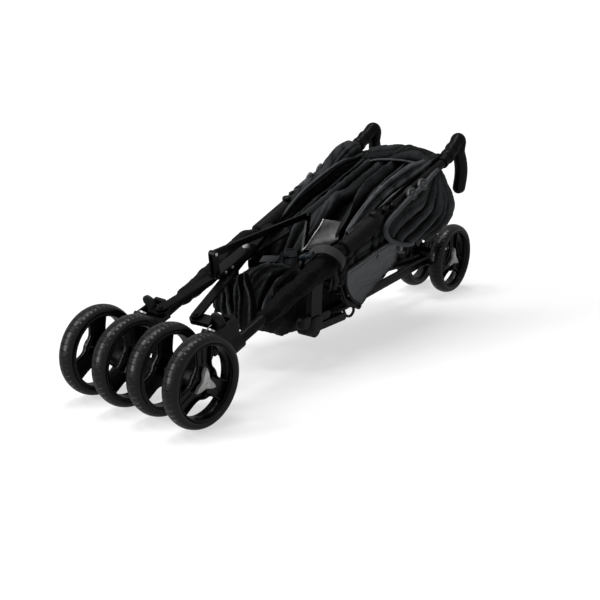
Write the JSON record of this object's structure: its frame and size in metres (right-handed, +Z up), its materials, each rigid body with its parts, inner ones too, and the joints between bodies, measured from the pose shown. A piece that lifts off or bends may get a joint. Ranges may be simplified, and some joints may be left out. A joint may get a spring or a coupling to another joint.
{
  "type": "folded pet stroller",
  "caption": "Umbrella-fold pet stroller shown folded flat on its wheels: twin-wheel swivel casters, paired rear wheels, hooked handles, gathered canopy and seat.",
  "frame": {"origin": "On the ground under the middle of the folded stroller", "axes": "+X is the stroller's left side, +Y runs from the front casters to the handles, +Z is up as the folded stroller lies on its wheels"},
  "size_m": [0.2736, 1.1499, 0.391],
  "materials": {
    "tyre": "Black foam-rubber tread, semi-gloss",
    "wheel_rim": "Black moulded nylon",
    "hub_cap": "Light grey moulded cap",
    "tube": "Black powder-coated aluminium tube",
    "black_plastic": "Black glass-filled nylon moulding",
    "lever_plastic": "Dark grey moulding with a pebbled face",
    "grip": "Black soft-touch sleeve",
    "brace_bar": "Black coated flat steel bar",
    "pin_steel": "Plated steel pins and rivets",
    "canopy_cloth": "Charcoal woven polyester, gathered",
    "seat_cloth": "Black woven polyester, folded"
  },
  "bodies": {
    "left_frame": {"left_main_tube": "tube", "left_handle": "black_plastic", "left_grip": "grip", "left_caster_housing": "black_plastic", "left_hub_bracket": "black_plastic", "left_canopy_clamp": "black_plastic", "seat_fabric": "seat_cloth", "basket_fabric": "seat_cloth"},
    "right_frame": {"right_main_tube": "tube", "right_handle": "black_plastic", "right_grip": "grip", "right_caster_housing": "black_plastic", "right_hub_bracket": "black_plastic", "right_canopy_clamp": "black_plastic"},
    "left_leg": {"left_rear_leg": "tube", "left_axle_housing": "black_plastic", "left_rear_axle": "pin_steel"},
    "left_caster": {"left_caster_fork": "black_plastic", "left_caster_pins": "pin_steel"},
    "left_outer_front_wheel": {"left_outer_front_tyre": "tyre", "left_outer_front_rim": "wheel_rim", "left_outer_front_hub_cap": "hub_cap"},
    "left_inner_front_wheel": {"left_inner_front_tyre": "tyre", "left_inner_front_rim": "wheel_rim", "left_inner_front_hub_cap": "hub_cap"},
    "left_rear_wheel": {"left_rear_tyre": "tyre", "left_rear_rim": "wheel_rim", "left_rear_hub_cap": "hub_cap"},
    "left_swivel_lock": {"left_swivel_lock_lever": "lever_plastic"},
    "left_brake_pedal": {"left_brake_pedal": "lever_plastic"},
    "left_front_arm": {"left_front_arm": "brace_bar"},
    "left_rear_arm": {"left_rear_arm": "brace_bar"},
    "canopy_left": {"left_canopy_bow": "black_plastic", "left_canopy_fabric": "canopy_cloth"},
    "right_leg": {"right_rear_leg": "tube", "right_axle_housing": "black_plastic", "right_rear_axle": "pin_steel"},
    "right_caster": {"right_caster_fork": "black_plastic", "right_caster_pins": "pin_steel"},
    "right_outer_front_wheel": {"right_outer_front_tyre": "tyre", "right_outer_front_rim": "wheel_rim", "right_outer_front_hub_cap": "hub_cap"},
    "right_inner_front_wheel": {"right_inner_front_tyre": "tyre", "right_inner_front_rim": "wheel_rim", "right_inner_front_hub_cap": "hub_cap"},
    "right_rear_wheel": {"right_rear_tyre": "tyre", "right_rear_rim": "wheel_rim", "right_rear_hub_cap": "hub_cap"},
    "right_swivel_lock": {"right_swivel_lock_lever": "lever_plastic"},
    "right_brake_pedal": {"right_brake_pedal": "lever_plastic"},
    "right_front_arm": {"right_front_arm": "brace_bar"},
    "right_rear_arm": {"right_rear_arm": "brace_bar"},
    "canopy_right": {"right_canopy_bow": "black_plastic", "right_canopy_fabric": "canopy_cloth"},
    "front_hub": {"front_hub": "black_plastic", "front_hub_rivets": "pin_steel"},
    "rear_hub": {"rear_hub": "black_plastic"},
    "lock_stay": {"lock_stay": "brace_bar"},
    "lock_link": {"lock_link": "brace_bar"},
    "fold_latch": {"fold_latch": "black_plastic"}
  },
  "joints": [
    {"name": "spread", "type": "slide", "parent": "left_frame", "child": "right_frame", "axis": [-1, 0, 0], "range_m": [0, 0.24], "deforming": ["seat_fabric", "basket_fabric", "left_canopy_fabric", "right_canopy_fabric"]},
    {"name": "left_leg_swing", "type": "hinge", "parent": "left_frame", "child": "left_leg", "pos_m": [0.0812, -0.15, 0.08], "axis": [-1, 0, 0], "range_deg": [0, 65.5]},
    {"name": "left_caster_swivel", "type": "hinge", "parent": "left_frame", "child": "left_caster", "pos_m": [0.0772, -0.46975, 0.06569], "axis": [0.0324, 0.5289, 0.848], "range_deg": [-6, 6]},
    {"name": "left_outer_front_wheel_spin", "type": "hinge", "parent": "left_caster", "child": "left_outer_front_wheel", "pos_m": [0.11597, -0.49506, 0.08], "axis": [0.9981, -0.061, 0], "continuous": true},
    {"name": "left_inner_front_wheel_spin", "type": "hinge", "parent": "left_caster", "child": "left_inner_front_wheel", "pos_m": [0.03562, -0.49014, 0.08], "axis": [0.9981, -0.061, 0], "continuous": true},
    {"name": "left_rear_wheel_spin", "type": "hinge", "parent": "left_leg", "child": "left_rear_wheel", "pos_m": [0.043, 0.495, 0.08], "axis": [1, 0, 0], "continuous": true},
    {"name": "left_swivel_lock_tip", "type": "hinge", "parent": "left_frame", "child": "left_swivel_lock", "pos_m": [0.08064, -0.41352, 0.12188], "axis": [-0.9981, 0.061, 0], "range_deg": [0, 15]},
    {"name": "left_brake_press", "type": "hinge", "parent": "left_leg", "child": "left_brake_pedal", "pos_m": [0.0135, 0.474, 0.104], "axis": [-1, 0, 0], "range_deg": [0, 15]},
    {"name": "right_leg_swing", "type": "hinge", "parent": "right_frame", "child": "right_leg", "pos_m": [-0.0812, -0.15, 0.08], "axis": [-1, 0, 0], "range_deg": [0, 65.5]},
    {"name": "right_caster_swivel", "type": "hinge", "parent": "right_frame", "child": "right_caster", "pos_m": [-0.0744, -0.46975, 0.06569], "axis": [0.0324, 0.5289, 0.848], "range_deg": [-6, 6]},
    {"name": "right_outer_front_wheel_spin", "type": "hinge", "parent": "right_caster", "child": "right_outer_front_wheel", "pos_m": [-0.11597, -0.49014, 0.08], "axis": [0.9981, -0.061, 0], "continuous": true},
    {"name": "right_inner_front_wheel_spin", "type": "hinge", "parent": "right_caster", "child": "right_inner_front_wheel", "pos_m": [-0.03562, -0.49506, 0.08], "axis": [0.9981, -0.061, 0], "continuous": true},
    {"name": "right_rear_wheel_spin", "type": "hinge", "parent": "right_leg", "child": "right_rear_wheel", "pos_m": [-0.043, 0.495, 0.08], "axis": [1, 0, 0], "continuous": true},
    {"name": "right_swivel_lock_tip", "type": "hinge", "parent": "right_frame", "child": "right_swivel_lock", "pos_m": [-0.07096, -0.41352, 0.12188], "axis": [-0.9981, 0.061, 0], "range_deg": [0, 15]},
    {"name": "right_brake_press", "type": "hinge", "parent": "right_leg", "child": "right_brake_pedal", "pos_m": [-0.0135, 0.474, 0.104], "axis": [-1, 0, 0], "range_deg": [0, 15]},
    {"name": "front_hub_slide", "type": "slide", "parent": "left_frame", "child": "front_hub", "axis": [-0.8542, -0.4921, -0.1681], "range_m": [0, 0.14119]},
    {"name": "rear_hub_slide", "type": "slide", "parent": "left_leg", "child": "rear_hub", "axis": [-0.8302, -0.5575, 0], "range_m": [0, 0.14527]},
    {"name": "left_front_arm_turn", "type": "hinge", "parent": "front_hub", "child": "left_front_arm", "pos_m": [0, -0.225, 0.21401], "axis": [0, -0.3233, 0.9463], "range_deg": [0, 40.43]},
    {"name": "left_rear_arm_turn", "type": "hinge", "parent": "rear_hub", "child": "left_rear_arm", "pos_m": [0, 0.33, 0.0973], "axis": [0, 0, 1], "range_deg": [0, 41.48]},
    {"name": "right_front_arm_turn", "type": "hinge", "parent": "front_hub", "child": "right_front_arm", "pos_m": [0, -0.225, 0.21401], "axis": [0, 0.3233, -0.9463], "range_deg": [0, 40.43]},
    {"name": "right_rear_arm_turn", "type": "hinge", "parent": "rear_hub", "child": "right_rear_arm", "pos_m": [0, 0.33, 0.0973], "axis": [0, 0, -1], "range_deg": [0, 41.48]},
    {"name": "lock_stay_swing", "type": "hinge", "parent": "front_hub", "child": "lock_stay", "pos_m": [0, -0.326, 0.238], "axis": [1, 0, 0], "range_deg": [0, 25]},
    {"name": "lock_link_swing", "type": "hinge", "parent": "lock_stay", "child": "lock_link", "pos_m": [0.0053, -0.043, 0.261], "axis": [-1, 0, 0], "range_deg": [0, 40]},
    {"name": "fold_latch_swing", "type": "hinge", "parent": "left_leg", "child": "fold_latch", "pos_m": [0.084, 0.03, 0.08], "axis": [-1, 0, 0], "range_deg": [-25, 20]},
    {"name": "canopy_swing", "type": "hinge", "parent": "left_frame", "child": "canopy_left", "pos_m": [0.10316, 0.04, 0.27254], "axis": [1, 0, 0], "range_deg": [0, 30]},
    {"name": "canopy_spread", "type": "slide", "parent": "canopy_left", "child": "canopy_right", "axis": [-1, 0, 0], "range_m": [0, 0.24]}
  ],
  "couplings": [
    {"joint": "left_leg_swing", "follows": "spread", "rad_per_m": 4.7269},
    {"joint": "right_leg_swing", "follows": "spread", "rad_per_m": 4.7269},
    {"joint": "front_hub_slide", "follows": "spread", "ratio": 0.58538},
    {"joint": "rear_hub_slide", "follows": "spread", "ratio": 0.60227},
    {"joint": "left_front_arm_turn", "follows": "spread", "rad_per_m": 2.9186},
    {"joint": "left_rear_arm_turn", "follows": "spread", "rad_per_m": 2.9947},
    {"joint": "right_front_arm_turn", "follows": "spread", "rad_per_m": 2.9186},
    {"joint": "right_rear_arm_turn", "follows": "spread", "rad_per_m": 2.9947},
    {"joint": "canopy_spread", "follows": "spread", "ratio": 1}
  ]
}
